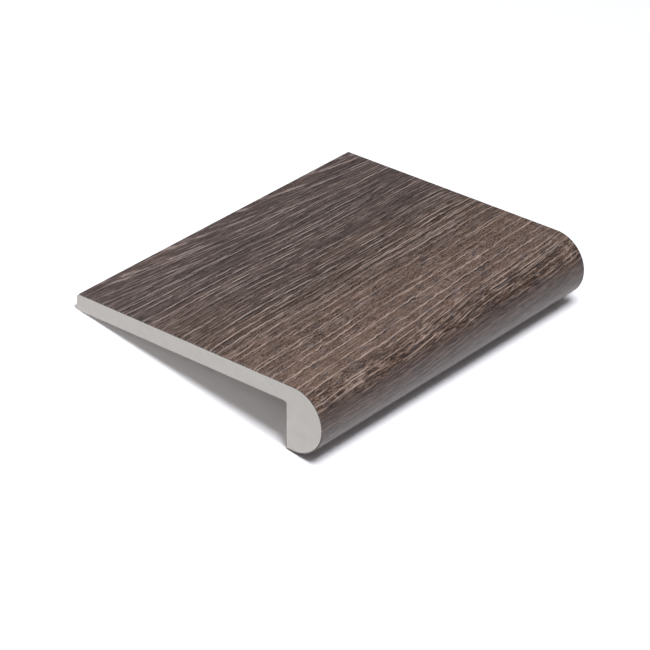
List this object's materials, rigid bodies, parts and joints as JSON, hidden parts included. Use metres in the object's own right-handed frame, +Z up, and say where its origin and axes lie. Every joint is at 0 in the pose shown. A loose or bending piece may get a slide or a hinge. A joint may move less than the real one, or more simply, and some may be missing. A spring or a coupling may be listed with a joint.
{
  "type": "stair nose moulding",
  "caption": "Flush stair nose moulding: flat tread plate, half-round nose and downturned leg in extruded PVC, wrapped in dark wood-look film and sawn short.",
  "frame": {"origin": "on the floor under the middle of the moulding's box, with the moulding tipped back as it lies unheld, on its lower back edge and the foot's inner corner", "axes": "+Y along the length, +X from the back edge towards the nose, +Z up"},
  "size_m": [0.1152, 0.15, 0.0263],
  "materials": {
    "pvc_core": "pale grey extruded PVC, matt, sawn ends",
    "wood_film": "dark grey-brown wood-look film, matt, lightly embossed along the grain"
  },
  "bodies": {
    "root": {"core_profile": "pvc_core", "decor_film": "wood_film"}
  },
  "joints": []
}
